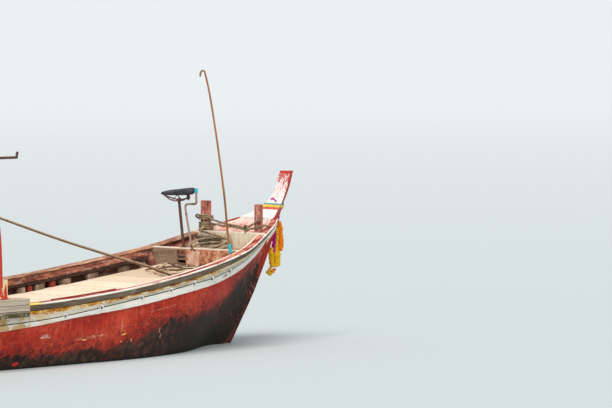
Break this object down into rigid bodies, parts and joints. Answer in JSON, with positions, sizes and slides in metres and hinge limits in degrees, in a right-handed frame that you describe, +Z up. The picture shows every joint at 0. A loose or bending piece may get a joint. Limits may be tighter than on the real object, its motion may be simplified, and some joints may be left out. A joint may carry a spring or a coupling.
{
  "type": "longtail boat",
  "caption": "Long wooden canal boat with a tall prow, planked hull, plank foredeck, arched canvas canopy and a swivelling, tilting long-tail engine.",
  "frame": {"origin": "amidships on the centreline, at the waterline", "axes": "+X to the bow, +Y to port, +Z up"},
  "size_m": [10.7507, 2.1228, 2.7585],
  "materials": {
    "red_paint": "matte red paint, worn and stained",
    "white_paint": "matte white paint, rust-streaked",
    "red_steel": "red paint on steel pipe, rust-speckled",
    "grey_wood": "weathered bare wood",
    "cream_wood": "worn deck boards",
    "dark_wood": "dark stained wood",
    "pink_paint": "worn pinkish red paint on boards",
    "raw_wood": "rough sawn wood",
    "bamboo": "smooth cane with dark nodes",
    "vinyl": "black vinyl, semi-gloss",
    "rusty_steel": "rusty painted steel",
    "galvanised": "dull galvanised steel",
    "cast_metal": "cast and oily",
    "engine_paint": "gloss paint, chipped",
    "brass": "dull cast brass",
    "canvas": "coated canvas",
    "rope": "laid fibre rope",
    "flowers": "threaded blossoms",
    "cloth": "thin woven strips in several colours"
  },
  "bodies": {
    "hull": {"port_planking": "red_paint", "starboard_planking": "red_paint", "port_sheer_strake": "white_paint", "starboard_sheer_strake": "white_paint", "port_rub_rail": "grey_wood", "starboard_rub_rail": "grey_wood", "port_cap_rail": "white_paint", "starboard_cap_rail": "white_paint", "port_inwale": "dark_wood", "starboard_inwale": "dark_wood", "port_riser": "raw_wood", "starboard_riser": "raw_wood", "port_side_guard": "grey_wood", "starboard_side_guard": "grey_wood", "port_mooring_post": "dark_wood", "starboard_mooring_post": "dark_wood", "keel": "dark_wood", "stem_post": "red_paint", "prow_head": "white_paint", "transom": "red_paint", "rib_frames": "dark_wood", "fore_bulkhead": "grey_wood", "well_bulkhead": "raw_wood", "well_floor": "raw_wood", "bow_platform": "pink_paint", "deck_panel_1": "cream_wood", "deck_panel_2": "cream_wood", "deck_panel_3": "cream_wood", "deck_panel_4": "cream_wood", "bottom_boards": "raw_wood", "front_thwart": "cream_wood", "rear_thwart": "cream_wood", "helm_bulkhead": "cream_wood", "helm_deck": "cream_wood", "saddle": "vinyl", "saddle_post": "rusty_steel", "bent_pipe": "rusty_steel", "hook_pole": "bamboo", "bamboo_pole": "bamboo", "prow_cloth": "cloth", "garland": "flowers", "rope_coil": "rope", "canopy_front_frame": "red_steel", "canopy_middle_frame": "red_steel", "canopy_rear_frame": "red_steel", "port_roof_rail": "rusty_steel", "starboard_roof_rail": "rusty_steel", "canopy_sheet": "canvas", "pivot_block": "raw_wood"},
    "yoke": {"swivel_yoke": "rusty_steel"},
    "drive": {"tail_tube": "galvanised", "engine_block": "cast_metal", "fan_cover": "engine_paint", "fuel_tank": "engine_paint", "muffler": "rusty_steel", "air_filter": "vinyl", "tiller_bar": "rusty_steel"},
    "propeller": {"propeller": "brass"}
  },
  "joints": [
    {"name": "engine_swivel", "type": "hinge", "parent": "hull", "child": "yoke", "pos_m": [-3.925, 0, 0.84], "axis": [0, 0, 1], "range_deg": [-45, 45]},
    {"name": "engine_tilt", "type": "hinge", "parent": "yoke", "child": "drive", "pos_m": [-3.925, 0, 1.01], "axis": [0, 1, 0], "range_deg": [-22, 6]},
    {"name": "propeller_spin", "type": "hinge", "parent": "drive", "child": "propeller", "pos_m": [-6.5756, 0, 0.8323], "axis": [0.9962, 0, 0.0872], "continuous": true}
  ]
}
